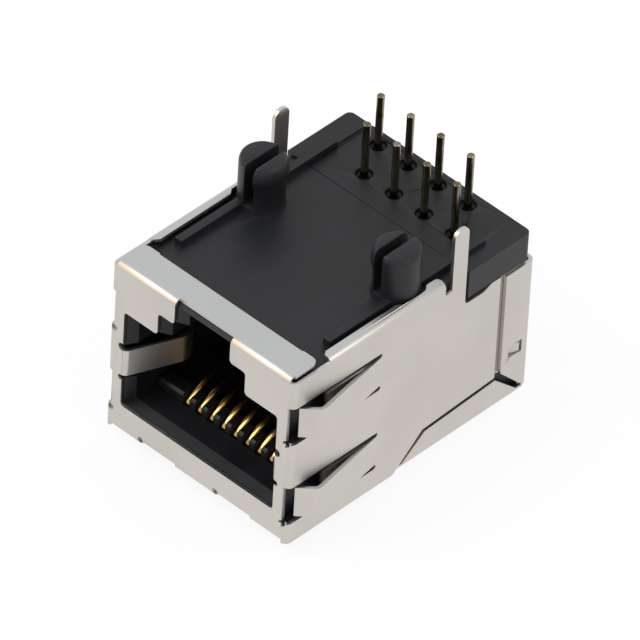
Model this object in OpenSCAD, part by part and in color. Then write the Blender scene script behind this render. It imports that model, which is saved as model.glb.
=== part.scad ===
// Shielded modular jack for a printed circuit board, with its magnetics inside.
// It lies on its roof: +X across the port, +Y from the port to the rear, +Z towards the board.

/* [Shield] */
// Outer width of the folded shield, without its spring fingers
shield_w = 15.5; // [15.3:0.1:16.5]
// Height from the roof to the outer face of the board-side flanges
shield_h = 13.3; // [13.3:0.1:14.5]
// Depth from the port face to the rear cover
shield_d = 21.3; // [21.2:0.1:23]
// Thickness of the sheet
sheet_t = 0.25; // [0.2:0.01:0.3]
// Outer radius of each fold
fold_r = 0.45; // [0.35:0.05:0.5]
// Depth of the flange folded over the port
front_flange_d = 2.4; // [1.8:0.1:3]
// Width of the flanges folded over the sides
side_flange_w = 0.75; // [0.65:0.05:0.85]
// Length of the rear cover's side flaps
flap_d = 2.55; // [2:0.05:2.8]

/* [Solder tabs] */
// Width of each shield tab
tab_w = 1.25; // [0.9:0.05:1.4]
// Distance from the port face to the middle of each tab
tab_y = 14.4; // [14.1:0.05:14.6]
// Reach of each tab beyond the board-side flanges
tab_reach = 3.65; // [2.5:0.05:4.5]

/* [Spring fingers] */
// Width of each outer spring finger
emi_w = 2.3; // [1.8:0.05:2.6]
// Width of the slit beside each finger
emi_slit = 0.33; // [0.25:0.01:0.4]
// Distance from the port face to the root of each finger
emi_root_y = 7.6; // [6.5:0.1:9]
// Distance from the port face to the crown of each finger
emi_crown_y = 2; // [1.7:0.05:2.4]
// How far each crown stands out of its wall
emi_bulge = 0.9; // [0.5:0.05:1.2]
// Distance between the two fingers of one side
emi_side_pitch = 6.45; // [5.8:0.05:6.8]
// Distance between the two fingers of the roof
emi_roof_pitch = 6.4; // [5:0.1:7]
// Width of the two fingers inside the port
ground_w = 2; // [1.4:0.05:2.1]
// Length of the straight blade of each finger inside the port
ground_len = 4.2; // [3:0.1:4.4]
// Lean of each finger inside the port, away from the side wall
ground_lean = 22; // [12:1:24]

/* [Port] */
// Width of the mouth cut in the shield
mouth_w = 13; // [12.8:0.1:13.4]
// Height of the mouth's lower edge above the roof
mouth_floor = 2.2; // [2.1:0.05:2.4]
// Height of the mouth's main part
mouth_h = 7.55; // [7.4:0.05:7.7]
// Width of the shoulder step
step_w = 7.4; // [7:0.1:7.8]
// Rise of the shoulder step
step_h = 1.7; // [1.5:0.05:1.8]
// Width of the latch slot
latch_w = 4.7; // [4.4:0.1:5]
// How far the moulded port lies inside the mouth at the sides
lead_in = 0.4; // [0.3:0.05:0.5]
// How far the moulded port lies inside the mouth at the floor
floor_lead_in = 0.25; // [0.15:0.05:0.35]
// Depth of the port
port_d = 12.9; // [12.5:0.1:13.2]

/* [Contacts] */
// Distance between contact wires
contact_pitch = 1.02; // [1:0.01:1.05]
// Width of each contact wire, which is drawn to a flat section
wire_w = 0.42; // [0.3:0.02:0.46]
// Thickness of each contact wire
wire_t = 0.32; // [0.25:0.01:0.36]
// Distance from the port face to the middle of the front bend
contact_bend_y = 3.55; // [3.4:0.05:3.8]
// Centre-line radius of the front bend
contact_bend_r = 0.6; // [0.5:0.05:0.65]
// Length of each free contact arm
contact_arm = 4.6; // [3.5:0.1:5]
// Width of the slot that each contact wire moves in
contact_slot_w = 0.56; // [0.5:0.02:0.62]
// Height of the comb teeth above the port floor
tooth_h = 0.7; // [0.5:0.05:0.8]

/* [Board side] */
// Depth of the moulded floor below the board-side flanges
floor_drop = 0.55; // [0.45:0.05:0.7]
// Distance between the two board posts
post_pitch = 11.43; // [11.4:0.01:11.5]
// Distance from the port face to the board posts
post_y = 10.9; // [10:0.1:11]
// Diameter of each board post
post_d = 3; // [2.9:0.05:3.05]
// Diameter of each post at its barb
barb_d = 3.3; // [3.15:0.05:3.35]
// Reach of each post beyond the board-side flanges
post_reach = 3.15; // [2.8:0.05:3.4]
// Width of the slot that splits each post
post_slot_w = 0.7; // [0.5:0.05:0.8]
// Distance from each post's axis to its slot, towards the middle of the part
post_slot_shift = 0.25; // [0:0.05:0.3]
// Height of the ribs above the moulded floor
rib_h = 0.5; // [0.4:0.05:0.55]
// Width of each rib
rib_w = 0.57; // [0.4:0.01:0.6]

/* [Solder pins] */
// Distance between pins of one row
pin_pitch = 2.54; // [2.5:0.01:2.6]
// Distance between the two rows
row_pitch = 2.54; // [2.3:0.01:2.6]
// Distance from the rear cover to the front row
pin_row_inset = 3.94; // [3.8:0.01:4]
// Diameter of each pin
pin_d = 0.5; // [0.4:0.02:0.6]
// Reach of each pin beyond the board-side flanges
pin_reach = 3.5; // [2.5:0.1:4.5]
// Diameter of the round recess about each pin
recess_d = 1.15; // [0.9:0.05:1.4]

/* [Magnetics] */
// Thickness of the inner circuit board
board_t = 0.8; // [0.6:0.1:0.9]
// Outside diameter of each toroid core
core_d = 3; // [2.8:0.05:3.1]
// Inside diameter of each toroid core
core_bore_d = 1.4; // [1.2:0.05:1.5]
// Height of each toroid core
core_h = 1.5; // [1.2:0.05:1.55]
// Thickness of the winding over each core
winding_t = 0.28; // [0.2:0.01:0.3]

/* [Hidden] */
$fn = 48;

// Clearances
play = 0.05;          // between mouldings, and between them and the shield
pin_grip = 0.02;      // round each pin and each contact wire, in plastic
solder_gap = 0.1;     // round each pin and each contact wire, in the board's holes
finger_room = 0.35;   // behind and beside a spring finger
sliver = 0.01;        // extra reach of a cut past the face that it opens
past = 1;             // reach of a through cut past the part

// Shield
half_w = shield_w / 2;
inner_r = fold_r - sheet_t;
mouth_top = mouth_floor + mouth_h;
step_top = mouth_top + step_h;
corner_r = 0.25;                        // fillet of the mouth's corners
flange_corner_r = 0.5;
flange_fillet = 0.05;
flange_ear_w = 1.15;                    // each end of the front flange is a little deeper
flange_ear_d = 0.08;
side_top_z = shield_h - fold_r + 0.1;   // cut top edge of a side wall ahead of its flange
flange_front_y = front_flange_d + 0.75;
flange_rear_y = tab_y - tab_w / 2 - 0.57;
tab_notch_z = shield_h - 1;
notch_r = 0.12;
rear_edge_z = 10.5;                     // top of the side walls behind the tabs
rear_rise = 0.3;                        // the edge rises by this much towards the rear flap
rise_y = 0.8;                           // start and length of that rise, ahead of the joggle
rise_run = 0.7;
rise_r = 0.5;
tab_foot_r = 0.32;
tab_tip_r = 0.55;
wing_len = 11.8;                        // roof wing: length, front foot, shoulder and rear end
wing_front_y = shield_d - wing_len;
wing_run = 2.5;
wing_r = 0.2;
wing_foot_y = shield_d - 1;
wing_front_z = 1.95;
wing_rear_z = 2.3;
wing_rear_y = shield_d - flap_d - 0.45;
seam = 0.27;                            // gap between the wing and its neighbours
flap_front_y = shield_d - flap_d;
flap_foot_z = 2.6;
flap_foot_fall = 2.16;                  // the flap's lower edge falls by this much to the rear fold
tail_rear_y = shield_d - 0.65;
tail_fall = 0.9;
joggle_y = flap_front_y - 0.55;         // the side wall steps in here, under the rear flap
joggle_run = 0.4;
latch_window = [1.2, 0.95];
latch_window_y = shield_d - 1.35;
latch_window_z = 3.9;
bump_h = 0.66;                          // lanced bump: height, ramp and flat top
bump_ramp = 0.75;
bump_flat = 0.08;
bump_rear_y = latch_window_y + 0.38;

// Spring fingers
emi_tip_y = 0.85;
emi_fall = 48;                          // slope from the crown in to the free end
emi_bend_r = 0.5;
emi_root_r = 2;
emi_root_len = 0.5;                     // flat length in the wall, behind the root
emi_window_w = emi_w + 2 * emi_slit;
emi_side_z = 6.27;                      // halfway between the two side fingers
relief_d = 0.5;
ground_z = (mouth_floor + mouth_top) / 2 - 0.375;
ground_bend_r = 0.37;
ground_curl_r = 0.8;
ground_curl = 55;
ground_relief_d = 0.4;
ground_cut = [0.35, 0.55];              // slit below and above a port finger
ground_relief_x = mouth_w / 2 + 0.09;
ground_room = 0.55;                     // room beside a port finger, in the port's side wall
ground_room_y = ground_len + 2.2;

// Moulded housing
wall_x = half_w - sheet_t - play;
front_y = sheet_t + play;
rear_y = shield_d - sheet_t - play;
roof_z = sheet_t + play;
floor_z = shield_h - floor_drop;
tail_wall_x = wall_x - sheet_t - play;  // narrower behind the joggle
port_w = mouth_w - 2 * lead_in;
port_floor = mouth_floor + floor_lead_in;
port_top = mouth_top - lead_in;
port_step_w = step_w - 2 * lead_in;
port_step_top = step_top - lead_in;
port_latch_w = latch_w - 2 * lead_in;
port_latch_top = floor_z - 0.45;
lead_d = 0.65;
port_back = front_y + port_d - sheet_t;
bay_front = port_back + 1.05;           // bay that holds the magnetics
bay_w = 11.4;
base_z = roof_z + 0.75;                 // inner face of the housing's roof wall
emi_room_y = emi_crown_y + 1.6;
emi_room_d = sheet_t + play + finger_room + 0.25;
block_front_y = tab_y + tab_w / 2 + 0.28;
block_rear_y = rear_y - 0.2;
block_top = floor_z + 0.2;
block_x = half_w - 0.03;
block_inner_x = 6.1;
block_corner_r = 0.4;
rib_x = 6.57;                           // outer face of each rib
rib_front_y = 4.25;
rib_rear_y = 17.9;
pad_half_w = wall_x - 0.6;              // pad under the front flange
edge_ease = inner_r / 2;                // moulded edges inside the folds are cut off
pad_rear_y = front_flange_d - 0.4;
side_ledge_z = rear_edge_z + play;

// Board posts
post_x = post_pitch / 2;
post_top = shield_h + post_reach;
post_flat_r = 1.27;
post_foot = 0.08;                       // the foot is wider by this much all round
post_foot_h = 0.6;
post_slot_z = floor_z + 0.55;
post_slot_x = post_x - post_slot_shift;
post_dome_h = 0.5;                      // rounded top of the plain half
barb_dome_h = 1.15;                     // rounded top of the barbed half, above its widest part
barb_ramp_h = 0.5;
post_clear_r = barb_d / 2 + 0.2;

// Circuit board, pin carrier and tray
carrier_w = 12;
pin_row_y = shield_d - pin_row_inset;
carrier_front = pin_row_y - 1.96;
board_top = floor_z - 1.55;
board_low = board_top - board_t;
board_w = 12.1;
board_front = bay_front + play;
board_rear = rear_y - 0.25;
pin_low = board_low + play;
pin_top = shield_h + pin_reach;
pin_tip = 0.06;
shank_d = pin_d + 0.12;
pin_taper = 0.6;                        // from the shank to the pin, up to the moulded floor
recess_h = 0.35;
pin_count = 8;

// Contacts
contact_count = 8;
insert_w = 11.9;
insert_front = contact_bend_y - contact_bend_r - wire_t / 2 - 0.07;
insert_rear = bay_front - play;
comb_d = 1.5;
comb_rear = insert_front + comb_d;
comb_slope = 0.4;
comb_bevel = 0.18;
bend_room = 0.1;
insert_low = base_z + play;
wire_z = insert_low + 0.5;              // lower run of each contact wire
contact_lift = 32;                      // rise of the wire as it leaves the front bend
contact_settle = 14;                    // how much the free arm then levels out
contact_settle_r = 4;
contact_rise_len = 0.7;                 // straight length between the two bends
slot_len = 7.6;
slot_rear = insert_front + slot_len;
slot_z = wire_z + wire_t / 2 + 0.12;
tail_bend_r = 0.35;
tail_y = bay_front + 0.55;
contact_turn_reach = contact_bend_r / tan(contact_lift / 2);
contact_turn_y = contact_bend_y - contact_turn_reach;
contact_knee_run = contact_turn_reach + contact_rise_len + contact_settle_r * tan(contact_settle / 2);
contact_knee = [contact_turn_y, wire_z] + contact_knee_run * [cos(contact_lift), sin(contact_lift)];

// Magnetics
tray_wall = 0.3;                        // behind the pockets
tray_w = bay_w - 2 * play - 0.1;
tray_low = base_z + play;
tray_top = board_low - play;
wound_d = core_d + 2 * winding_t;
wound_h = core_h + 2 * winding_t;
pocket_d = wound_d + 4 * play;
pocket_h = wound_h + 2 * play;
tray_front = board_rear - pocket_h - tray_wall;
core_x = 2.75;
core_y = board_rear - pocket_h + play + wound_h / 2;
winding_gap = 40;                       // bare arc between the winding's two ends
chip = [0.7, 1.55, 0.45];
chip_y = bay_front + 1.3;
chip_x = [-5.2, -4.4, 4.4, 5.2];        // beside the contact tails
capacitor = [1.25, 2, 1.25];            // between the pairs of cores
capacitor_y = board_rear - 1.2;
capacitor_gap = 0.1;

// ---------- Helpers ----------

function unit(v) = v / norm(v);
function heading(v) = atan2(v[1], v[0]);
function wrap(a) = a > 180 ? a - 360 : (a < -180 ? a + 360 : a);

// Points of one rounded corner at b, between its neighbours a and c
function corner_arc(a, b, c, r, steps) =
    let (
        u = unit([a[0] - b[0], a[1] - b[1]]),
        v = unit([c[0] - b[0], c[1] - b[1]]),
        half = acos(u * v) / 2,
        middle = [b[0], b[1]] + unit(u + v) * r / sin(half),
        first = heading([b[0], b[1]] + u * r / tan(half) - middle),
        last = heading([b[0], b[1]] + v * r / tan(half) - middle),
        sweep = wrap(last - first)
    )
    [for (k = [0:steps]) middle + r * [cos(first + sweep * k / steps), sin(first + sweep * k / steps)]];

// Outline through points [x, y] or [x, y, fillet radius]
function outline(points, steps = 4) = [
    for (i = [0:len(points) - 1])
        let (
            n = len(points),
            here = points[i],
            r = here[2] == undef ? 0 : here[2]
        )
        for (p = r > 0
            ? corner_arc(points[(i + n - 1) % n], here, points[(i + 1) % n], r, steps)
            : [[here[0], here[1]]])
            p
];

// Mirror image of a half outline about x = 0, so that the pair closes
function both_halves(points) = concat(
    points,
    [for (i = [len(points) - 1:-1:0])
        points[i][2] == undef
            ? [-points[i][0], points[i][1]]
            : [-points[i][0], points[i][1], points[i][2]]]
);

// Outline of a strip of thickness t along an open path of [x, y] or [x, y, centre-line radius]
function strip(path, t, steps = 6) =
    let (
        last = len(path) - 1,
        bends = [
            for (i = [1:last - 1])
                each corner_arc(path[i - 1], path[i], path[i + 1], path[i][2], steps)
        ],
        line = concat([[path[0][0], path[0][1]]], bends, [[path[last][0], path[last][1]]])
    )
    concat(
        [for (i = [0:len(line) - 1]) line[i] + strip_offset(line, i) * t / 2],
        [for (i = [len(line) - 1:-1:0]) line[i] - strip_offset(line, i) * t / 2]
    );

// Vector across the strip at point i, lengthened on bends so that the sheet keeps its thickness
function strip_offset(line, i) =
    let (
        before = unit(line[max(i, 1)] - line[max(i, 1) - 1]),
        after = unit(line[min(i + 1, len(line) - 1)] - line[min(i, len(line) - 2)]),
        along = unit(before + after)
    )
    [-along[1], along[0]] / (along * after);

// Connector frame (roof at z = 0, port face at y = 0) to row frame (crowns of the roof
// fingers at z = 0, origin under the middle of the part)
module seated() {
    translate([0, -shield_d / 2, emi_bulge])
        children();
}

module left_and_right() {
    children();
    mirror([1, 0, 0])
        children();
}

// Box between two opposite corners
module block(low, high) {
    translate(low)
        cube(high - low);
}

// Corners of a rectangle with its corners cut off by c
function eased(low, high, c) = [
    [low[0] + c, low[1]], [high[0] - c, low[1]], [high[0], low[1] + c], [high[0], high[1] - c],
    [high[0] - c, high[1]], [low[0] + c, high[1]], [low[0], high[1] - c], [low[0], low[1] + c]
];

// Block with all its edges cut off by c, so that it clears the inside of the folds
module eased_block(low, high, c) {
    intersection() {
        through_x(low[0], high[0])
            polygon(eased([low[1], low[2]], [high[1], high[2]], c));
        through_y(low[1], high[1])
            polygon(eased([low[0], low[2]], [high[0], high[2]], c));
        translate([0, 0, low[2]])
            linear_extrude(high[2] - low[2])
                polygon(eased([low[0], low[1]], [high[0], high[1]], c));
    }
}

// Outline in [x, z], extruded from y0 to y1
module through_y(y0, y1) {
    translate([0, y1, 0])
        rotate([90, 0, 0])
            linear_extrude(y1 - y0)
                children();
}

// Outline in [y, z], extruded from x0 to x1
module through_x(x0, x1) {
    translate([x0, 0, 0])
        rotate([90, 0, 90])
            linear_extrude(x1 - x0)
                children();
}

// Quarter ring in the first quadrant, for a fold of the sheet
module fold_section() {
    intersection() {
        difference() {
            circle(fold_r);
            circle(inner_r);
        }
        square(fold_r + past);
    }
}

// ---------- Shield ----------

// Mouth of the port as cut in the sheet, right half first
mouth_half = [
    [mouth_w / 2, mouth_floor, corner_r],
    [mouth_w / 2, mouth_top, corner_r],
    [step_w / 2, mouth_top, corner_r],
    [step_w / 2, step_top, corner_r],
    [latch_w / 2, step_top, corner_r],
    [latch_w / 2, shield_h + past, 0]
];

module mouth_cut() {
    through_y(-past, fold_r)
        polygon(outline(both_halves(mouth_half)));
    left_and_right()
        for (side = [0, 1])
            ground_relief(side);
}

// Slit above or below the root of a port finger, with a round end in the jamb
module ground_relief(side) {
    cut = ground_cut[side];
    z = ground_z + (2 * side - 1) * (ground_w + cut) / 2;
    block([mouth_w / 2 - past, -past, z - cut / 2],
        [ground_relief_x, fold_r, z + cut / 2]);
    translate([ground_relief_x, fold_r, z])
        rotate([90, 0, 0])
            cylinder(d = max(cut, ground_relief_d), h = fold_r + past);
}

module front_panel() {
    flat = half_w - fold_r;
    block([-flat, 0, fold_r], [flat, sheet_t, shield_h - fold_r]);
    // folds to the roof and to the front flange
    for (top = [0, 1])
        translate([0, fold_r, top == 1 ? shield_h - fold_r : fold_r])
            mirror([0, 0, 1 - top])
                through_x(-flat, flat)
                    mirror([1, 0])
                        fold_section();
    // folds to the side walls
    left_and_right()
        translate([flat, fold_r, 0])
            mirror([0, 1, 0])
                linear_extrude(side_top_z)
                    fold_section();
}

// Flange over the port, with a slightly deeper ear at each end
flange_half = [
    [half_w - fold_r + 0.1, fold_r],
    [half_w - fold_r + 0.1, front_flange_d + flange_ear_d, flange_corner_r],
    [half_w - flange_corner_r - flange_ear_w, front_flange_d + flange_ear_d, flange_fillet],
    [half_w - flange_corner_r - flange_ear_w - flange_ear_d, front_flange_d, flange_fillet]
];

module front_flange() {
    translate([0, 0, shield_h - sheet_t])
        linear_extrude(sheet_t)
            polygon(outline(both_halves(flange_half)));
}

// Side wall in [y, z], from the front fold to the joggle
side_outline = [
    [fold_r, 0],
    [wing_front_y - seam / 2, 0],
    [wing_front_y + wing_run - seam / 2, wing_front_z + seam, wing_r],
    [joggle_y, wing_rear_z + seam],
    [joggle_y, rear_edge_z + rear_rise],
    [joggle_y - rise_y, rear_edge_z + rear_rise, rise_r],
    [joggle_y - rise_y - rise_run, rear_edge_z, rise_r],
    [tab_y + tab_w / 2, rear_edge_z, tab_foot_r],
    [tab_y + tab_w / 2, shield_h + tab_reach, tab_tip_r],
    [tab_y - tab_w / 2, shield_h + tab_reach, tab_tip_r],
    [tab_y - tab_w / 2, tab_notch_z, notch_r],
    [flange_rear_y, tab_notch_z, notch_r],
    [flange_rear_y, shield_h - fold_r],
    [flange_front_y, shield_h - fold_r],
    [flange_front_y, side_top_z],
    [fold_r, side_top_z]
];

// Part of the side wall that lies inside the rear flap
tail_outline = [
    [joggle_y + joggle_run, wing_rear_z + seam],
    [tail_rear_y, wing_rear_z + seam - tail_fall],
    [tail_rear_y, rear_edge_z],
    [joggle_y + joggle_run, rear_edge_z + rear_rise]
];

module side_wall() {
    through_x(half_w - sheet_t, half_w)
        polygon(outline(side_outline));
    // joggle: the sheet steps in by its own thickness
    translate([0, 0, wing_rear_z + seam])
        linear_extrude(rear_edge_z + rear_rise - wing_rear_z - seam)
            polygon([
                [half_w - sheet_t, joggle_y],
                [half_w, joggle_y],
                [half_w - sheet_t - play / 2, joggle_y + joggle_run],
                [half_w - 2 * sheet_t - play / 2, joggle_y + joggle_run]
            ]);
    translate([-sheet_t - play / 2, 0, 0])
        through_x(half_w - sheet_t, half_w)
            polygon(outline(tail_outline));
    latch_bump();
}

// Lanced bump that the rear flap's window snaps over
module latch_bump() {
    bump_x = half_w - sheet_t - play / 2;
    bump_front_y = bump_rear_y - bump_flat - bump_ramp;
    translate([0, 0, latch_window_z - bump_h / 2])
        linear_extrude(bump_h)
            polygon([
                [bump_x - sliver, bump_front_y],
                [bump_x + 2 * sliver, bump_front_y],
                [bump_x + sheet_t, bump_rear_y - bump_flat],
                [bump_x + sheet_t, bump_rear_y],
                [bump_x - sliver, bump_rear_y]
            ]);
}

// Flange folded over the housing's side, cut away round the board post
module side_flange() {
    translate([half_w - fold_r, 0, shield_h - fold_r])
        through_y(flange_front_y, flange_rear_y)
            fold_section();
    difference() {
        translate([0, 0, shield_h - sheet_t])
            linear_extrude(sheet_t)
                polygon(outline([
                    [half_w - fold_r, flange_front_y],
                    [half_w - fold_r, flange_rear_y],
                    [half_w - side_flange_w, flange_rear_y - 0.1, 0.25],
                    [half_w - side_flange_w, flange_front_y + 0.3, 0.12],
                    [half_w - side_flange_w + 0.2, flange_front_y, 0.1]
                ]));
        translate([post_x, post_y, 0])
            cylinder(r = post_clear_r, h = shield_h + past);
    }
}

// Roof plate, with the folds and wings that close the sides at the rear
module roof_panel() {
    flat = half_w - fold_r;
    linear_extrude(sheet_t)
        polygon(both_halves([
            [flat, fold_r],
            [flat, shield_d - fold_r]
        ]));
    left_and_right() {
        translate([flat, 0, fold_r])
            mirror([0, 0, 1])
                through_y(wing_front_y + seam / 2, shield_d - fold_r)
                    fold_section();
        through_x(half_w - sheet_t, half_w)
            polygon([
                [wing_front_y + seam / 2 + wing_run * fold_r / wing_front_z, fold_r],
                [wing_front_y + wing_run + seam / 2, wing_front_z],
                [wing_rear_y, wing_rear_z],
                [wing_foot_y, fold_r]
            ]);
    }
}

// Rear cover with its two side flaps
module rear_cover() {
    flat = half_w - fold_r;
    translate([0, shield_d - fold_r, fold_r])
        mirror([0, 0, 1])
            through_x(-flat, flat)
                fold_section();
    block([-flat, shield_d - sheet_t, fold_r], [flat, shield_d, rear_edge_z]);
    left_and_right() {
        translate([flat, shield_d - fold_r, fold_r])
            linear_extrude(rear_edge_z - fold_r)
                fold_section();
        difference() {
            through_x(half_w - sheet_t, half_w)
                polygon([
                    [flap_front_y, rear_edge_z],
                    [flap_front_y, flap_foot_z],
                    [shield_d - fold_r, flap_foot_z - flap_foot_fall],
                    [shield_d - fold_r, rear_edge_z]
                ]);
            translate([half_w, latch_window_y, latch_window_z])
                cube([2, latch_window[0], latch_window[1]], center = true);
        }
    }
}

// Spring finger in [distance along the wall from the port face, distance out of the wall]:
// it leaves the wall at its root, rises to the crown and falls back in to its free end
emi_crown = [emi_crown_y, emi_bulge - sheet_t / 2 - emi_bend_r];
emi_reach = emi_crown - [emi_root_y, -sheet_t / 2];
emi_rise = atan2(emi_reach[1], -emi_reach[0]) + asin(emi_bend_r / norm(emi_reach));
emi_vertex = emi_crown
    + emi_bend_r / cos((emi_rise + emi_fall) / 2)
    * [-sin((emi_fall - emi_rise) / 2), cos((emi_fall - emi_rise) / 2)];
emi_path = [
    [emi_root_y + emi_root_len, -sheet_t / 2],
    [emi_root_y, -sheet_t / 2, emi_root_r],
    [emi_vertex[0], emi_vertex[1], emi_bend_r],
    [emi_tip_y, emi_vertex[1] - (emi_vertex[0] - emi_tip_y) * tan(emi_fall)]
];

// Window of a finger in the plane of its wall: two slits joined round the front fold,
// each ending in a round at the root; a small round opens its corner in the port face
module emi_window() {
    half_window = emi_window_w / 2;
    difference() {
        union() {
            block([-half_window, -past, -past], [half_window, emi_root_y, fold_r + sliver]);
            for (side = [-1, 1])
                translate([side * (emi_w + emi_slit) / 2, emi_root_y, -past])
                    cylinder(d = emi_slit, h = fold_r + past + sliver);
        }
        block([-emi_w / 2, emi_crown_y + past, -2 * past], [emi_w / 2, shield_d, 2 * past]);
    }
    translate([-half_window, -past, fold_r])
        rotate([-90, 0, 0])
            cylinder(d = relief_d, h = past + sheet_t + sliver);
}

module emi_finger() {
    translate([-emi_w / 2, 0, 0])
        rotate([90, 0, 90])
            mirror([0, 1])
                linear_extrude(emi_w)
                    polygon(strip(emi_path, sheet_t, 8));
}

// Puts a finger or window made on the roof onto the roof and both side walls
module at_each_finger() {
    for (side = [-1, 1])
        translate([side * emi_roof_pitch / 2, 0, 0])
            children();
    left_and_right()
        for (side = [-1, 1])
            translate([half_w, 0, emi_side_z + side * emi_side_pitch / 2])
                rotate([0, -90, 0])
                    children();
}

// Finger that runs back into the port from one jamb: a fold, a leaning blade and a curl
ground_fold = [mouth_w / 2 - 0.1, sheet_t / 2];
ground_tip = ground_fold + ground_len * [-sin(ground_lean), cos(ground_lean)];
ground_path = [
    [ground_fold[0] + ground_bend_r, sheet_t / 2],
    [ground_fold[0], ground_fold[1], ground_bend_r],
    [ground_tip[0], ground_tip[1], ground_curl_r],
    ground_tip + [sin(ground_curl - ground_lean), cos(ground_curl - ground_lean)]
];

module ground_finger() {
    translate([0, 0, ground_z - ground_w / 2])
        linear_extrude(ground_w)
            polygon(strip(ground_path, sheet_t, 10));
}

module shield() {
    color([0.79, 0.77, 0.74]) {
        difference() {
            union() {
                front_panel();
                front_flange();
                roof_panel();
                rear_cover();
                left_and_right() {
                    side_wall();
                    side_flange();
                }
            }
            mouth_cut();
            at_each_finger()
                emi_window();
        }
        at_each_finger()
            emi_finger();
        left_and_right()
            ground_finger();
    }
}

// ---------- Moulded housing ----------

// Opening of the port: a rectangle in [x, z] with flared edges at its mouth
module flared(w, z0, z1, low_lead, lead) {
    block([-w / 2, front_y - past, z0], [w / 2, port_back, z1]);
    intersection() {
        translate([0, 0, z0 - past])
            linear_extrude(z1 - z0 + 2 * past)
                polygon(both_halves([
                    [w / 2 + lead, front_y - sliver],
                    [w / 2 + sliver, front_y + lead_d]
                ]));
        through_x(-w, w)
            polygon([
                [front_y - sliver, z0 - low_lead],
                [front_y + lead_d, z0 - sliver],
                [front_y + lead_d, z1 + sliver],
                [front_y - sliver, z1 + lead]
            ]);
    }
}

module port() {
    flared(port_w, port_floor, port_top, floor_lead_in, lead_in);
    flared(port_step_w, port_top - past, port_step_top, 0, lead_in);
    flared(port_latch_w, port_step_top - past, port_latch_top, 0, lead_in);
    // room for the two port fingers to spring outwards
    left_and_right()
        block([port_w / 2 - past, front_y - past, ground_z - ground_w / 2 - finger_room],
            [port_w / 2 + ground_room, ground_room_y, ground_z + ground_w / 2 + finger_room]);
}

// Room behind an outer spring finger, made on the roof
module emi_room() {
    block([-emi_window_w / 2, -past, -past],
        [emi_window_w / 2, emi_room_y, emi_room_d]);
}

// Rounded top of a board post in [radius, height above the moulded floor]
function dome(r, h) = [
    for (a = [0:15:90])
        [post_flat_r + (r - post_flat_r) * cos(a), post_top - floor_z - h + h * sin(a)]
];

// Column with a wider foot, and a barb on the half that faces the middle of the part
module board_post() {
    barb_low = post_top - floor_z - barb_dome_h - barb_ramp_h;
    translate([post_x, post_y, floor_z])
        rotate_extrude()
            polygon(concat(
                [[0, -past], [post_d / 2 + post_foot, -past], [post_d / 2 + post_foot, 0]],
                [[post_d / 2, post_foot_h]],
                dome(post_d / 2, post_dome_h),
                [[0, post_top - floor_z]]
            ));
    intersection() {
        translate([post_x, post_y, floor_z])
            rotate_extrude()
                polygon(concat(
                    [[0, barb_low], [post_d / 2 - sliver, barb_low]],
                    dome(barb_d / 2, barb_dome_h),
                    [[0, post_top - floor_z]]
                ));
        cube([post_slot_x, shield_d, 2 * shield_h]);
    }
}

module post_slot() {
    translate([post_slot_x - post_slot_w / 2, post_y - post_d, post_slot_z])
        cube([post_slot_w, 2 * post_d, post_top]);
}

// Upper edge moulding of the housing in [x, y], right of the pin carrier
block_outline = outline([
    [block_inner_x, rib_rear_y],
    [rib_x - 0.05, rib_rear_y],
    [rib_x - 0.05, block_front_y],
    [block_x, block_front_y],
    [block_x, block_rear_y, block_corner_r],
    [block_inner_x, block_rear_y]
]);

module housing_body() {
    // front part, between the full side walls
    eased_block([-wall_x, front_y, roof_z], [wall_x, joggle_y - play, floor_z], edge_ease);
    // rear part, inside the joggled walls
    eased_block([-tail_wall_x, joggle_y - past, roof_z], [tail_wall_x, rear_y, floor_z], edge_ease);
    eased_block([-pad_half_w, front_y, floor_z - past],
        [pad_half_w, pad_rear_y, shield_h - sheet_t - play], edge_ease);
    left_and_right() {
        block([rib_x - rib_w, rib_front_y, floor_z - sliver], [rib_x, rib_rear_y, floor_z + rib_h]);
        translate([0, 0, side_ledge_z + rear_rise])
            linear_extrude(block_top - side_ledge_z - rear_rise)
                polygon(block_outline);
        board_post();
    }
}

module housing() {
    color([0.16, 0.16, 0.17])
        difference() {
            housing_body();
            port();
            at_each_finger()
                emi_room();
            left_and_right()
                post_slot();
            // slot for the contact insert, which slides in from the rear
            block([-insert_w / 2 - play, insert_front - play, base_z],
                [insert_w / 2 + play, bay_front + past, port_floor + play]);
            // bay for the magnetics, open at the rear
            block([-bay_w / 2, bay_front, base_z], [bay_w / 2, shield_d, board_low]);
            // grooves for the circuit board, and the opening that the pin carrier fills
            block([-board_w / 2 - play, bay_front, board_low - play],
                [board_w / 2 + play, shield_d, board_top + play]);
            block([-carrier_w / 2, carrier_front, board_top],
                [carrier_w / 2, shield_d, shield_h]);
        }
}

// ---------- Rear module ----------

function pin_at(i) = [
    (i < 4 ? -pin_pitch * 1.25 : -pin_pitch * 1.75) + (i % 4) * pin_pitch,
    pin_row_y + (i < 4 ? 0 : row_pitch)
];

module pin_carrier() {
    color([0.15, 0.15, 0.16])
        difference() {
            block([-carrier_w / 2 + play / 2, carrier_front + play, board_top],
                [carrier_w / 2 - play / 2, rear_y, floor_z]);
            for (i = [0:pin_count - 1])
                translate(concat(pin_at(i), 0)) {
                    cylinder(d = shank_d + 2 * pin_grip, h = shield_h);
                    translate([0, 0, floor_z - recess_h])
                        cylinder(d = recess_d, h = shield_h);
                }
        }
}

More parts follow.
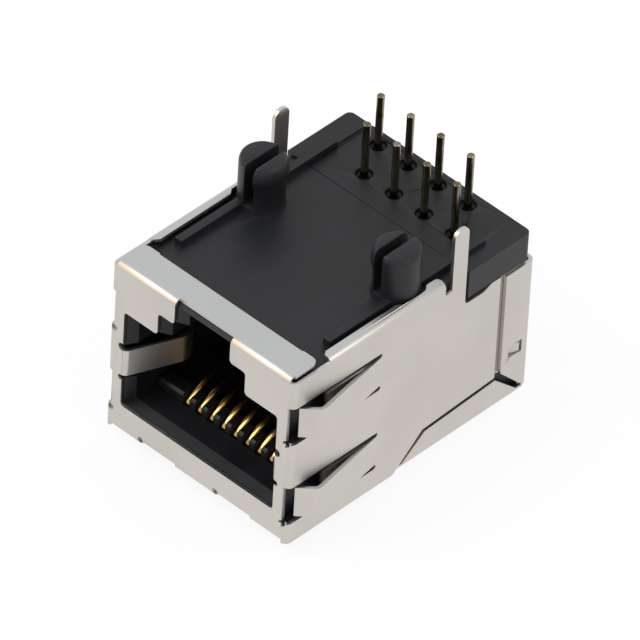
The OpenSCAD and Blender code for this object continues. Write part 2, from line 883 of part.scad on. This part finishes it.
module solder_pin(i) {
    color([0.62, 0.55, 0.45])
        translate(pin_at(i)) {
            translate([0, 0, pin_low])
                cylinder(d = shank_d, h = floor_z - pin_taper - pin_low);
            translate([0, 0, floor_z - pin_taper])
                cylinder(d1 = shank_d, d2 = pin_d, h = pin_taper);
            translate([0, 0, floor_z])
                cylinder(d = pin_d, h = pin_top - floor_z - pin_tip);
            translate([0, 0, pin_top - pin_tip])
                cylinder(d1 = pin_d, d2 = pin_d - 2 * pin_tip, h = pin_tip);
        }
}

module circuit_board() {
    color([0.1, 0.33, 0.2])
        difference() {
            block([-board_w / 2, board_front, board_low], [board_w / 2, board_rear, board_top]);
            for (i = [0:pin_count - 1])
                translate(concat(pin_at(i), 0))
                    cylinder(d = shank_d + 2 * solder_gap, h = shield_h);
            for (i = [0:contact_count - 1])
                translate([contact_x(i), tail_y, 0])
                    cylinder(d = norm([wire_w, wire_t]) + 2 * solder_gap, h = shield_h);
        }
}

// Toroid axes lie along Y, two beside two, at a quarter and three quarters of the tray's height
function core_at(i) = [
    (i % 2 == 0 ? -1 : 1) * core_x,
    core_y,
    tray_low + (tray_top - tray_low) * (i < 2 ? 0.75 : 0.25)
];

module coil_tray() {
    color([0.18, 0.18, 0.19])
        difference() {
            block([-tray_w / 2, tray_front, tray_low], [tray_w / 2, board_rear, tray_top]);
            for (i = [0:3])
                translate([core_at(i)[0], shield_d, core_at(i)[2]])
                    rotate([90, 0, 0])
                        cylinder(d = pocket_d, h = shield_d - board_rear + pocket_h);
            // notch for the capacitor
            block([-capacitor[0] / 2 - capacitor_gap, 0, board_low - capacitor[2] - capacitor_gap],
                [capacitor[0] / 2 + capacitor_gap, shield_d, board_low]);
        }
}

module toroid_core(i) {
    color([0.3, 0.31, 0.32])
        translate(core_at(i))
            rotate([90, 0, 0])
                rotate_extrude()
                    translate([core_bore_d / 2, -core_h / 2])
                        square([(core_d - core_bore_d) / 2, core_h]);
}

module toroid_winding(i) {
    ring = (core_d - core_bore_d) / 2;
    color([0.7, 0.33, 0.16])
        translate(core_at(i))
            rotate([90, 0, 0])
                rotate([0, 0, winding_gap / 2 - 90])
                    rotate_extrude(angle = 360 - winding_gap)
                        translate([core_bore_d / 2, -core_h / 2])
                            difference() {
                                translate([-winding_t, -winding_t])
                                    square([ring + 2 * winding_t, core_h + 2 * winding_t]);
                                square([ring, core_h]);
                            }
}

module termination_resistor(i) {
    color([0.12, 0.12, 0.13])
        translate([chip_x[i] - chip[0] / 2, chip_y - chip[1] / 2, board_low - chip[2]])
            cube(chip);
}

module isolation_capacitor() {
    color([0.6, 0.5, 0.38])
        translate([-capacitor[0] / 2, capacitor_y - capacitor[1] / 2, board_low - capacitor[2]])
            cube(capacitor);
}

// ---------- Contacts ----------

function contact_x(i) = (i - (contact_count - 1) / 2) * contact_pitch;

// Path of a contact wire in [y, z]: down from the inner board, forward under the port floor,
// round the front bend and back up into the port, where the free arm levels out
contact_path = [
    [tail_y, board_top - play],
    [tail_y, wire_z, tail_bend_r],
    [contact_turn_y, wire_z, contact_bend_r],
    [contact_knee[0], contact_knee[1], contact_settle_r],
    contact_knee + contact_arm * [cos(contact_lift - contact_settle), sin(contact_lift - contact_settle)]
];

module contact_wire(i) {
    color([0.85, 0.66, 0.25])
        through_x(contact_x(i) - wire_w / 2, contact_x(i) + wire_w / 2)
            polygon(strip(contact_path, wire_t, 10));
}

module contact_insert() {
    color([0.15, 0.15, 0.16])
        difference() {
            union() {
                block([-insert_w / 2, insert_front, insert_low],
                    [insert_w / 2, insert_rear, port_floor]);
                through_x(-insert_w / 2 + play, insert_w / 2 - play)
                    polygon([
                        [insert_front, port_floor - sliver],
                        [comb_rear, port_floor - sliver],
                        [comb_rear - comb_slope, port_floor + tooth_h],
                        [insert_front + comb_bevel, port_floor + tooth_h],
                        [insert_front, port_floor + tooth_h - comb_bevel]
                    ]);
            }
            for (i = [0:contact_count - 1])
                translate([contact_x(i), 0, 0])
                    contact_slots();
        }
}

// Channel for a wire's lower run, open slot for its free arm, and room for its front bend
module contact_slots() {
    grip_w = wire_w / 2 + pin_grip;
    grip_t = wire_t / 2 + pin_grip;
    block([-grip_w, insert_front - past, wire_z - grip_t], [grip_w, shield_d, wire_z + grip_t]);
    block([-contact_slot_w / 2, insert_front - past, slot_z],
        [contact_slot_w / 2, slot_rear, shield_h]);
    block([-contact_slot_w / 2, insert_front - past, wire_z - grip_t - bend_room],
        [contact_slot_w / 2, contact_bend_y + bend_room, shield_h]);
}

// ---------- Nodes ----------

seated() housing();
seated() pin_carrier();
seated() contact_insert();
seated() shield();
seated() circuit_board();
seated() coil_tray();
seated() contact_wire(0);  // contact_wire_1
seated() contact_wire(1);  // contact_wire_2
seated() contact_wire(2);  // contact_wire_3
seated() contact_wire(3);  // contact_wire_4
seated() contact_wire(4);  // contact_wire_5
seated() contact_wire(5);  // contact_wire_6
seated() contact_wire(6);  // contact_wire_7
seated() contact_wire(7);  // contact_wire_8
seated() solder_pin(0);  // solder_pin_1
seated() solder_pin(1);  // solder_pin_2
seated() solder_pin(2);  // solder_pin_3
seated() solder_pin(3);  // solder_pin_4
seated() solder_pin(4);  // solder_pin_5
seated() solder_pin(5);  // solder_pin_6
seated() solder_pin(6);  // solder_pin_7
seated() solder_pin(7);  // solder_pin_8
seated() toroid_core(0);  // tx_transformer_core
seated() toroid_winding(0);  // tx_transformer_winding
seated() toroid_core(1);  // rx_transformer_core
seated() toroid_winding(1);  // rx_transformer_winding
seated() toroid_core(2);  // tx_choke_core
seated() toroid_winding(2);  // tx_choke_winding
seated() toroid_core(3);  // rx_choke_core
seated() toroid_winding(3);  // rx_choke_winding
seated() termination_resistor(0);  // termination_resistor_1
seated() termination_resistor(1);  // termination_resistor_2
seated() termination_resistor(2);  // termination_resistor_3
seated() termination_resistor(3);  // termination_resistor_4
seated() isolation_capacitor();
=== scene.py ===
import math

import bmesh
import bpy
from bpy.props import FloatProperty, FloatVectorProperty, PointerProperty
from bpy.types import Operator, Panel, PropertyGroup
from mathutils import Matrix, Vector
from mathutils.bvhtree import BVHTree


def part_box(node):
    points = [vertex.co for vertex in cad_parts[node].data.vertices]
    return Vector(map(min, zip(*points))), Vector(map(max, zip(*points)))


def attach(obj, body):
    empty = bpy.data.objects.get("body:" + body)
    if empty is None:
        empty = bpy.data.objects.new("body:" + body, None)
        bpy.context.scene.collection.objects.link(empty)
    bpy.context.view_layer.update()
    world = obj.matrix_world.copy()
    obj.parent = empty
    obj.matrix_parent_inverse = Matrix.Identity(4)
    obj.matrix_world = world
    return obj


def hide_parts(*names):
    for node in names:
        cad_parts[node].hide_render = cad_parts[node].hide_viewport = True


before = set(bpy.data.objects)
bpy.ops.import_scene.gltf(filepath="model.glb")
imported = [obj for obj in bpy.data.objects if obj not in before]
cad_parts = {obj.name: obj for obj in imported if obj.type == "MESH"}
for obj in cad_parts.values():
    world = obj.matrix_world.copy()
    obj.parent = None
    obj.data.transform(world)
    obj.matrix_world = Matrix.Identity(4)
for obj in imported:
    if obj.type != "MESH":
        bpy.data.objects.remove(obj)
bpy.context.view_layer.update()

bl_info = {
    "name": "Board jack look",
    "version": (1, 0, 0),
    "blender": (4, 5, 0),
    "location": "View3D > Sidebar > Jack",
    "description": "Dresses the packed modular jack and lights it",
    "category": "Object",
}

MM = 0.001
BODY = "root"
POSITIONS = range(1, 9)                 # contacts, and solder pins
WAVE_PERIOD = math.pi / 10              # period of a wave texture at a scale of 1

WELD = 0.4e-6                           # the frame's split vertices lie closer than this
SLIVER = 0.2e-6
FLATNESS = math.radians(0.4)            # faces that differ by less are one face
SHEET_LIMIT = 0.3 * MM                  # a little more than the sheet's 0.25 mm
FAR = 30 * MM

CAMERA_PLACE = (0.432630, -0.482040, 0.581300)
CAMERA_AIM = (-0.500117, 0.557142, -0.662930)
CAMERA_UP = (-0.486, 0.454, 0.747)
CAMERA_LENS = 796.4
CROWN_Y = 2 * MM                        # from the port face to the crowns of the roof fingers
REAR_EDGE_DROP = 0.3 * MM               # from the housing's lowest point to the roof's rear edge
FLOOR_REACH = 1.5
FLOOR_WHITE = 0.88                      # share of plain white that the eye sees in the floor
CENTRE = (0, 0, 0.007)


# ---------- Colours and nodes ----------

def linear(hex_code):
    """sRGB hex colour as linear RGB."""
    parts = [int(hex_code[i:i + 2], 16) / 255 for i in (0, 2, 4)]
    return tuple(c / 12.92 if c <= 0.04045 else ((c + 0.055) / 1.055) ** 2.4 for c in parts)


def rgba(colour, gain=1.0):
    """Colour as four channels, lightened or darkened by gain."""
    return tuple(min(channel * gain, 1.0) for channel in colour) + (1.0,)


def add_node(tree, kind, inputs=None, stops=(), **settings):
    """New node with its settings and inputs: a socket is linked, a value is set.

    stops are the (position, colour) pairs of a colour ramp.
    """
    made = tree.nodes.new(kind)
    for name, value in settings.items():
        setattr(made, name, value)
    for name, value in (inputs or {}).items():
        if isinstance(value, bpy.types.NodeSocket):
            tree.links.new(value, made.inputs[name])
        else:
            made.inputs[name].default_value = value
    for index, (position, colour) in enumerate(stops):
        made.color_ramp.elements[index].position = position
        made.color_ramp.elements[index].color = colour
    return made


def new_material(name):
    """Empty node material; returns it with its tree."""
    material = bpy.data.materials.new(name)
    material.use_nodes = True
    material.node_tree.nodes.clear()
    return material, material.node_tree


def cells(tree, size):
    """Object coordinates counted in a pattern's cells, whose size is in millimetres."""
    sizes = size if isinstance(size, tuple) else (size, size, size)
    coords = add_node(tree, "ShaderNodeTexCoord")
    return add_node(tree, "ShaderNodeMapping", {
        "Vector": coords.outputs["Object"],
        "Scale": tuple(1 / (each * MM) for each in sizes),
    }).outputs["Vector"]


def facing(tree, direction, start, end):
    """Mask of the surfaces that face a direction, rising from start to end of the cosine."""
    coords = add_node(tree, "ShaderNodeTexCoord")
    along = add_node(tree, "ShaderNodeVectorMath", {
        0: coords.outputs["Normal"], 1: tuple(Vector(direction).normalized()),
    }, operation="DOT_PRODUCT")
    return add_node(tree, "ShaderNodeMapRange", {
        "Value": along.outputs["Value"], "From Min": start, "From Max": end,
    }, interpolation_type="SMOOTHSTEP").outputs["Result"]


# ---------- Materials ----------

def shield_plate(colour):
    """Satin nickel over brass sheet: rolling streaks along the strip, faint handling blur,
    painted shade that makes upward faces a cooler grey, and a warmer front-top fold, partly
    brass through the stretched plate and partly painted highlight."""
    material, tree = new_material("satin_nickel_plated_brass_sheet")
    streaks = add_node(tree, "ShaderNodeTexNoise", {
        "Vector": cells(tree, (1 / 0.35, 1 / 6, 1 / 6)),
        "Scale": 1.0, "Detail": 3.0, "Roughness": 0.6,
    }).outputs["Fac"]
    cloud = add_node(tree, "ShaderNodeTexNoise", {
        "Vector": cells(tree, 1 / 0.22), "Scale": 1.0, "Detail": 2.0,
    }).outputs["Fac"]
    grain = add_node(tree, "ShaderNodeTexNoise", {
        "Vector": cells(tree, 1 / 9), "Scale": 1.0, "Detail": 2.0,
    }).outputs["Fac"]
    plate = add_node(tree, "ShaderNodeValToRGB", {"Fac": cloud},
                     stops=((0.3, rgba(colour, 0.965)), (0.7, rgba(colour, 1.03))))
    # painted shade: faces that point up get a cooler, slightly darker grey than the rest of the
    # same plate
    painted_upward_shade = add_node(tree, "ShaderNodeMix", {
        0: facing(tree, (0, 0, 1), 0.8, 1.0),
        6: plate.outputs["Color"], 7: rgba(linear("c3c4c4")),
    }, data_type="RGBA")
    # front-top fold: lighter and warmer, partly brass showing through the stretched plate and
    # partly a painted highlight on faces that point front and up
    folded = add_node(tree, "ShaderNodeMix", {
        0: facing(tree, (0, -1, 1), 0.9, 0.98),
        6: painted_upward_shade.outputs[2], 7: rgba(linear("f6dcc0")),
    }, data_type="RGBA")
    roughness = add_node(tree, "ShaderNodeMapRange", {
        "Value": streaks, "To Min": 0.34, "To Max": 0.44,
    })
    rolled = add_node(tree, "ShaderNodeBump", {
        "Height": streaks, "Distance": 0.002 * MM, "Strength": 0.3,
    })
    grainy = add_node(tree, "ShaderNodeBump", {
        "Height": grain, "Distance": 0.002 * MM, "Strength": 0.25,
        "Normal": rolled.outputs["Normal"],
    })
    shader = add_node(tree, "ShaderNodeBsdfPrincipled", {
        "Base Color": folded.outputs[2], "Metallic": 1.0,
        "Roughness": roughness.outputs["Result"], "Normal": grainy.outputs["Normal"],
    })
    add_node(tree, "ShaderNodeOutputMaterial", {"Surface": shader.outputs["BSDF"]})
    return material


def sheared_brass(colour):
    """Sheared edge of the sheet: bare brass with burnished and dark torn bands."""
    material, tree = new_material("sheared_brass_edge")
    tear = add_node(tree, "ShaderNodeTexNoise", {
        "Vector": cells(tree, 0.4), "Scale": 1.0, "Detail": 3.0, "Roughness": 0.6,
    }).outputs["Fac"]
    brass = add_node(tree, "ShaderNodeValToRGB", {"Fac": tear},
                     stops=((0.3, rgba(colour, 0.5)), (0.55, rgba(colour))))
    roughness = add_node(tree, "ShaderNodeMapRange", {
        "Value": tear, "To Min": 0.45, "To Max": 0.25,
    })
    torn = add_node(tree, "ShaderNodeBump", {
        "Height": tear, "Distance": 0.01 * MM, "Strength": 0.4,
    })
    shader = add_node(tree, "ShaderNodeBsdfPrincipled", {
        "Base Color": brass.outputs["Color"], "Metallic": 1.0,
        "Roughness": roughness.outputs["Result"], "Normal": torn.outputs["Normal"],
    })
    add_node(tree, "ShaderNodeOutputMaterial", {"Surface": shader.outputs["BSDF"]})
    return material


def moulded_black(name, colour, gloss):
    """Black glass-filled thermoplastic: satin skin with a fine eroded grain and flow marks."""
    material, tree = new_material(name)
    grain = add_node(tree, "ShaderNodeTexNoise", {
        "Vector": cells(tree, 1 / 14), "Scale": 1.0, "Detail": 3.0, "Roughness": 0.6,
    }).outputs["Fac"]
    flow = add_node(tree, "ShaderNodeTexNoise", {
        "Vector": cells(tree, (2, 6.25, 2)), "Scale": 1.0, "Detail": 2.0,
    }).outputs["Fac"]
    skin = add_node(tree, "ShaderNodeValToRGB", {"Fac": flow},
                    stops=((0.3, rgba(colour, 0.8)), (0.7, rgba(colour, 1.25))))
    roughness = add_node(tree, "ShaderNodeMapRange", {
        "Value": flow, "To Min": gloss - 0.04, "To Max": gloss + 0.05,
    })
    eroded = add_node(tree, "ShaderNodeBump", {
        "Height": grain, "Distance": 0.004 * MM, "Strength": 0.3,
    })
    shader = add_node(tree, "ShaderNodeBsdfPrincipled", {
        "Base Color": skin.outputs["Color"], "IOR": 1.5, "Specular IOR Level": 0.35,
        "Roughness": roughness.outputs["Result"], "Normal": eroded.outputs["Normal"],
    })
    add_node(tree, "ShaderNodeOutputMaterial", {"Surface": shader.outputs["BSDF"]})
    return material


def drawn_wire(name, colour, tarnish, gloss):
    """Plated drawn wire: bright, with drawing lines along it and slight tarnish."""
    material, tree = new_material(name)
    lines = add_node(tree, "ShaderNodeTexNoise", {
        "Vector": cells(tree, (1 / 14, 1 / 14, 1 / 0.6)), "Scale": 1.0, "Detail": 2.0,
    }).outputs["Fac"]
    cloud = add_node(tree, "ShaderNodeTexNoise", {
        "Vector": cells(tree, 1 / 1.1), "Scale": 1.0, "Detail": 2.0,
    }).outputs["Fac"]
    plate = add_node(tree, "ShaderNodeValToRGB", {"Fac": cloud},
                     stops=((0.32, rgba(tarnish)), (0.62, rgba(colour))))
    roughness = add_node(tree, "ShaderNodeMapRange", {
        "Value": lines, "To Min": gloss - 0.04, "To Max": gloss + 0.06,
    })
    drawn = add_node(tree, "ShaderNodeBump", {
        "Height": lines, "Distance": 0.003 * MM, "Strength": 0.3,
    })
    shader = add_node(tree, "ShaderNodeBsdfPrincipled", {
        "Base Color": plate.outputs["Color"], "Metallic": 1.0,
        "Roughness": roughness.outputs["Result"], "Normal": drawn.outputs["Normal"],
    })
    add_node(tree, "ShaderNodeOutputMaterial", {"Surface": shader.outputs["BSDF"]})
    return material


def board_laminate():
    """Glass-epoxy board with green solder mask over a fine weave."""
    material, tree = new_material("glass_epoxy_solder_mask")
    weave = add_node(tree, "ShaderNodeTexWave", {
        "Vector": cells(tree, 1), "Scale": WAVE_PERIOD / 0.24166, "Distortion": 0.6,
    }).outputs["Fac"]
    mask = add_node(tree, "ShaderNodeValToRGB", {"Fac": weave},
                    stops=((0.3, rgba(linear("0b3a22"))), (0.8, rgba(linear("125233")))))
    woven = add_node(tree, "ShaderNodeBump", {
        "Height": weave, "Distance": 0.006 * MM, "Strength": 0.3,
    })
    shader = add_node(tree, "ShaderNodeBsdfPrincipled", {
        "Base Color": mask.outputs["Color"], "IOR": 1.52, "Roughness": 0.32,
        "Normal": woven.outputs["Normal"],
    })
    add_node(tree, "ShaderNodeOutputMaterial", {"Surface": shader.outputs["BSDF"]})
    return material


def sintered(name, dark, light, roughness):
    """Sintered ceramic or ferrite: matt, with a fine speckle."""
    material, tree = new_material(name)
    speckle = add_node(tree, "ShaderNodeTexNoise", {
        "Vector": cells(tree, 1 / 7), "Scale": 1.0, "Detail": 4.0, "Roughness": 0.7,
    }).outputs["Fac"]
    body = add_node(tree, "ShaderNodeValToRGB", {"Fac": speckle},
                    stops=((0.35, rgba(linear(dark))), (0.65, rgba(linear(light)))))
    pitted = add_node(tree, "ShaderNodeBump", {
        "Height": speckle, "Distance": 0.008 * MM, "Strength": 0.4,
    })
    shader = add_node(tree, "ShaderNodeBsdfPrincipled", {
        "Base Color": body.outputs["Color"], "IOR": 1.6, "Roughness": roughness,
        "Normal": pitted.outputs["Normal"],
    })
    add_node(tree, "ShaderNodeOutputMaterial", {"Surface": shader.outputs["BSDF"]})
    return material


def enamelled_winding():
    """Enamelled copper wire wound round a core: fine glossy turns side by side."""
    material, tree = new_material("enamelled_copper_winding")
    turns = add_node(tree, "ShaderNodeTexWave", {
        "Vector": cells(tree, 1), "Scale": WAVE_PERIOD / 0.19635, "Distortion": 1.5,
    }, wave_type="RINGS").outputs["Fac"]
    enamel = add_node(tree, "ShaderNodeValToRGB", {"Fac": turns},
                      stops=((0.2, rgba(linear("5a2410"))), (0.8, rgba(linear("b4581f")))))
    wound = add_node(tree, "ShaderNodeBump", {
        "Height": turns, "Distance": 0.05 * MM, "Strength": 0.6,
    })
    shader = add_node(tree, "ShaderNodeBsdfPrincipled", {
        "Base Color": enamel.outputs["Color"], "IOR": 1.55, "Roughness": 0.28,
        "Coat Weight": 0.5, "Normal": wound.outputs["Normal"],
    })
    add_node(tree, "ShaderNodeOutputMaterial", {"Surface": shader.outputs["BSDF"]})
    return material


# ---------- Dressing of the frame's meshes ----------

def welded_copy(node, name):
    """Copy of a node's mesh with its split vertices joined, as (mesh, open bmesh)."""
    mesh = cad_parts[node].data.copy()
    mesh.name = name
    work = bmesh.new()
    work.from_mesh(mesh)
    bmesh.ops.remove_doubles(work, verts=work.verts, dist=WELD)
    bmesh.ops.dissolve_degenerate(work, edges=work.edges, dist=SLIVER)
    bmesh.ops.recalc_face_normals(work, faces=work.faces)
    if not work.faces:
        raise RuntimeError(f"{node} has no faces")
    return mesh, work


def dress(mesh, work, node, materials, rounding, corner=30, segments=2, edge_index=-1):
    """Object from an edited mesh that stands for its node, with rounded edges.

    rounding is in metres, and edges sharper than corner degrees get it. edge_index is the
    material of the rounded edges, or -1 for the faces' own.
    """
    bmesh.ops.dissolve_limit(work, angle_limit=FLATNESS, verts=work.verts, edges=work.edges,
                             delimit={"MATERIAL"})
    bmesh.ops.triangulate(work, faces=[face for face in work.faces if len(face.verts) > 4])
    for face in work.faces:
        face.smooth = True
    work.to_mesh(mesh)
    work.free()
    if "custom_normal" in mesh.attributes:
        mesh.attributes.remove(mesh.attributes["custom_normal"])
    mesh.materials.clear()
    for material in materials:
        mesh.materials.append(material)
    piece = bpy.data.objects.new(mesh.name, mesh)
    bpy.context.scene.collection.objects.link(piece)
    edges = piece.modifiers.new("edge_rounding", "BEVEL")
    edges.width = rounding
    edges.segments = segments
    edges.limit_method = "ANGLE"
    edges.angle_limit = math.radians(corner)
    edges.material = edge_index
    edges.miter_outer = "MITER_ARC"
    normals = piece.modifiers.new("face_normals", "WEIGHTED_NORMAL")
    normals.weight = 100
    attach(piece, BODY)
    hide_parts(node)


def paint(node, material):
    """Material of a node that stays as it is."""
    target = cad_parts[node].data
    target.materials.clear()
    target.materials.append(material)


# ---------- Settings ----------

class JackLook(PropertyGroup):
    nickel: FloatVectorProperty(
        name="Nickel", description="Colour of the plated sheet",
        subtype="COLOR", size=3, min=0, max=1, default=linear("cbc6c0"))
    brass: FloatVectorProperty(
        name="Sheared edge", description="Colour of the sheet's bare edges",
        subtype="COLOR", size=3, min=0, max=1, default=linear("d8b878"))
    plastic: FloatVectorProperty(
        name="Housing", description="Colour of the moulded housing",
        subtype="COLOR", size=3, min=0, max=1, default=linear("17181b"))
    gold: FloatVectorProperty(
        name="Contacts", description="Colour of the gold plate",
        subtype="COLOR", size=3, min=0, max=1, default=linear("d9b36a"))
    pin: FloatVectorProperty(
        name="Pins", description="Colour of the solder pins",
        subtype="COLOR", size=3, min=0, max=1, default=linear("8f8672"))
    edge: FloatProperty(
        name="Edge rounding", description="Rounding of the sheet's edges in metres",
        subtype="DISTANCE", unit="LENGTH", min=0, max=0.0001, default=0.00003)
    light: FloatProperty(
        name="Light", description="Strength of the white room round the part",
        min=0, max=2, default=0.9)


# ---------- Pieces ----------

class JACK_OT_shield(Operator):
    """Dress the folded shield: plated faces, bare sheared edges"""
    bl_idname = "jack.shield"
    bl_label = "Shield"

    def execute(self, context):
        look = context.scene.jack_look
        mesh, work = welded_copy("shield", "plated_shield")
        work.normal_update()
        work.faces.ensure_lookup_table()
        surface = BVHTree.FromBMesh(work)
        for face in work.faces:
            # inwards from a plated face the sheet ends after its thickness
            start = face.calc_center_median() - face.normal * 0.002 * MM
            depth = surface.ray_cast(start, -face.normal, FAR)[3]
            plated = depth is not None and depth < SHEET_LIMIT
            face.material_index = 0 if plated else 1
        dress(mesh, work, "shield",
              [shield_plate(look.nickel), sheared_brass(look.brass)], look.edge, edge_index=1)
        return {"FINISHED"}


class JACK_OT_mouldings(Operator):
    """Dress the housing, the pin carrier and the contact insert"""
    bl_idname = "jack.mouldings"
    bl_label = "Mouldings"

    def execute(self, context):
        look = context.scene.jack_look
        for node, slot, gloss, rounding in (
                ("housing", "housing_plastic", 0.42, 0.06),
                ("pin_carrier", "carrier_plastic", 0.44, 0.04),
                ("contact_insert", "insert_plastic", 0.4, 0.03)):
            mesh, work = welded_copy(node, "moulded_" + node)
            black = moulded_black("black_moulded_" + node, look.plastic, gloss)
            dress(mesh, work, node, [black], rounding * MM)
        return {"FINISHED"}


class JACK_OT_contacts(Operator):
    """Dress the gold-plated contact wires"""
    bl_idname = "jack.contacts"
    bl_label = "Contacts"

    def execute(self, context):
        look = context.scene.jack_look
        gold = drawn_wire("gold_plated_phosphor_bronze", look.gold, linear("b98f4a"), 0.16)
        for number in POSITIONS:
            node = f"contact_wire_{number}"
            mesh, work = welded_copy(node, f"gold_wire_{number}")
            dress(mesh, work, node, [gold], 0.14 * MM, 40, 4)
        return {"FINISHED"}


class JACK_OT_pins(Operator):
    """Finish the solder pins"""
    bl_idname = "jack.pins"
    bl_label = "Solder pins"

    def execute(self, context):
        look = context.scene.jack_look
        tinned = drawn_wire("tinned_copper_wire", look.pin, linear("6a6048"), 0.18)
        for number in POSITIONS:
            paint(f"solder_pin_{number}", tinned)
        return {"FINISHED"}


class JACK_OT_inside(Operator):
    """Finish the parts inside the housing"""
    bl_idname = "jack.inside"
    bl_label = "Inner parts"

    def execute(self, context):
        paint("circuit_board", board_laminate())
        paint("coil_tray", moulded_black("black_moulded_tray", linear("191a1c"), 0.5))
        ferrite = sintered("sintered_ferrite", "2a2b2d", "3d3e41", 0.6)
        winding = enamelled_winding()
        for name in ("tx_transformer", "rx_transformer", "tx_choke", "rx_choke"):
            paint(name + "_core", ferrite)
            paint(name + "_winding", winding)
        glaze = sintered("resistor_glaze", "141416", "202124", 0.35)
        for number in range(1, 5):
            paint(f"termination_resistor_{number}", glaze)
        paint("isolation_capacitor", sintered("capacitor_ceramic", "8f7350", "ab8c64", 0.55))
        return {"FINISHED"}


# ---------- Stage ----------

def add_camera(scene):
    """Camera at its place, aimed and rolled by the two directions."""
    lens = bpy.data.cameras.new("camera")
    lens.lens = CAMERA_LENS
    lens.sensor_width = 36
    lens.clip_start = 0.05
    lens.clip_end = 20
    camera = bpy.data.objects.new("camera", lens)
    back = -Vector(CAMERA_AIM).normalized()
    up = (Vector(CAMERA_UP) - back * Vector(CAMERA_UP).dot(back)).normalized()
    turn = Matrix((up.cross(back), up, back)).transposed()
    camera.matrix_world = Matrix.Translation(CAMERA_PLACE) @ turn.to_4x4()
    scene.collection.objects.link(camera)
    scene.camera = camera


def add_room(scene, strength):
    """White room that lights the part, and plain white where the camera looks past it."""
    world = bpy.data.worlds.new("white_room")
    scene.world = world
    world.use_nodes = True
    tree = world.node_tree
    tree.nodes.clear()
    white = (1, 1, 1, 1)
    path = add_node(tree, "ShaderNodeLightPath")
    room = add_node(tree, "ShaderNodeBackground", {"Color": white, "Strength": strength})
    seen = add_node(tree, "ShaderNodeBackground", {"Color": white, "Strength": 1.0})
    mixed = add_node(tree, "ShaderNodeMixShader", {
        0: path.outputs["Is Camera Ray"],
        1: room.outputs["Background"], 2: seen.outputs["Background"],
    })
    add_node(tree, "ShaderNodeOutputWorld", {"Surface": mixed.outputs["Shader"]})


def white_paper():
    """Matt white paper that keeps the part's shadow and looks white itself."""
    material, tree = new_material("pale_paper_floor")
    paper = add_node(tree, "ShaderNodeBsdfDiffuse", {"Color": (0.9, 0.9, 0.9, 1)})
    white = add_node(tree, "ShaderNodeEmission", {"Color": (1, 1, 1, 1), "Strength": 1.0})
    path = add_node(tree, "ShaderNodeLightPath")
    direct = add_node(tree, "ShaderNodeMath", {
        0: path.outputs["Is Camera Ray"], 1: path.outputs["Is Glossy Ray"],
    }, operation="MAXIMUM")
    share = add_node(tree, "ShaderNodeMapRange", {
        "Value": direct.outputs["Value"], "To Max": FLOOR_WHITE,
    })
    mixed = add_node(tree, "ShaderNodeMixShader", {
        0: share.outputs["Result"], 1: paper.outputs["BSDF"], 2: white.outputs["Emission"],
    })
    add_node(tree, "ShaderNodeOutputMaterial", {"Surface": mixed.outputs["Shader"]})
    return material


def add_floor(scene):
    """Floor that touches the crowns of the roof fingers and the rear edge of the roof."""
    low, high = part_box("shield")
    crown_y = low.y + CROWN_Y
    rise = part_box("housing")[0].z - REAR_EDGE_DROP
    work = bmesh.new()
    bmesh.ops.create_grid(work, x_segments=1, y_segments=1, size=FLOOR_REACH)
    mesh = bpy.data.meshes.new("floor")
    work.to_mesh(mesh)
    work.free()
    mesh.materials.append(white_paper())
    floor = bpy.data.objects.new("floor", mesh)
    floor.rotation_euler = (math.atan2(rise, high.y - crown_y), 0, 0)
    floor.location = (0, crown_y, low.z - 0.01 * MM)
    scene.collection.objects.link(floor)


def add_lamp(scene, name, place, size, power):
    """Round soft lamp aimed at the part."""
    lamp = bpy.data.lights.new(name, "AREA")
    lamp.shape = "DISK"
    lamp.size = size
    lamp.energy = power
    holder = bpy.data.objects.new(name, lamp)
    holder.location = place
    holder.rotation_euler = (Vector(CENTRE) - Vector(place)).to_track_quat("-Z", "Y").to_euler()
    scene.collection.objects.link(holder)


class JACK_OT_stage(Operator):
    """Set the camera, the light and the pale floor"""
    bl_idname = "jack.stage"
    bl_label = "Stage"

    def execute(self, context):
        scene = context.scene
        add_camera(scene)
        add_room(scene, scene.jack_look.light)
        add_floor(scene)
        add_lamp(scene, "key", (-0.25, -0.3, 0.5), 0.35, 1.2)
        add_lamp(scene, "fill", (0.5, 0.1, 0.35), 0.4, 0.6)
        scene.view_settings.view_transform = "Standard"
        return {"FINISHED"}


# ---------- Panel and registration ----------

STEPS = (JACK_OT_shield, JACK_OT_mouldings, JACK_OT_contacts, JACK_OT_pins, JACK_OT_inside,
         JACK_OT_stage)


class JACK_PT_panel(Panel):
    bl_label = "Board jack"
    bl_idname = "JACK_PT_panel"
    bl_space_type = "VIEW_3D"
    bl_region_type = "UI"
    bl_category = "Jack"

    def draw(self, context):
        look = context.scene.jack_look
        for name in ("nickel", "brass", "plastic", "gold", "pin", "edge", "light"):
            self.layout.prop(look, name)
        for step in STEPS:
            self.layout.operator(step.bl_idname)


CLASSES = (JackLook,) + STEPS + (JACK_PT_panel,)


def register():
    for item in CLASSES:
        bpy.utils.register_class(item)
    bpy.types.Scene.jack_look = PointerProperty(type=JackLook)


def unregister():
    del bpy.types.Scene.jack_look
    for item in reversed(CLASSES):
        bpy.utils.unregister_class(item)


def main():
    register()
    bpy.ops.jack.shield()
    bpy.ops.jack.mouldings()
    bpy.ops.jack.contacts()
    bpy.ops.jack.pins()
    bpy.ops.jack.inside()
    bpy.ops.jack.stage()


if __name__ == "__main__":
    main()
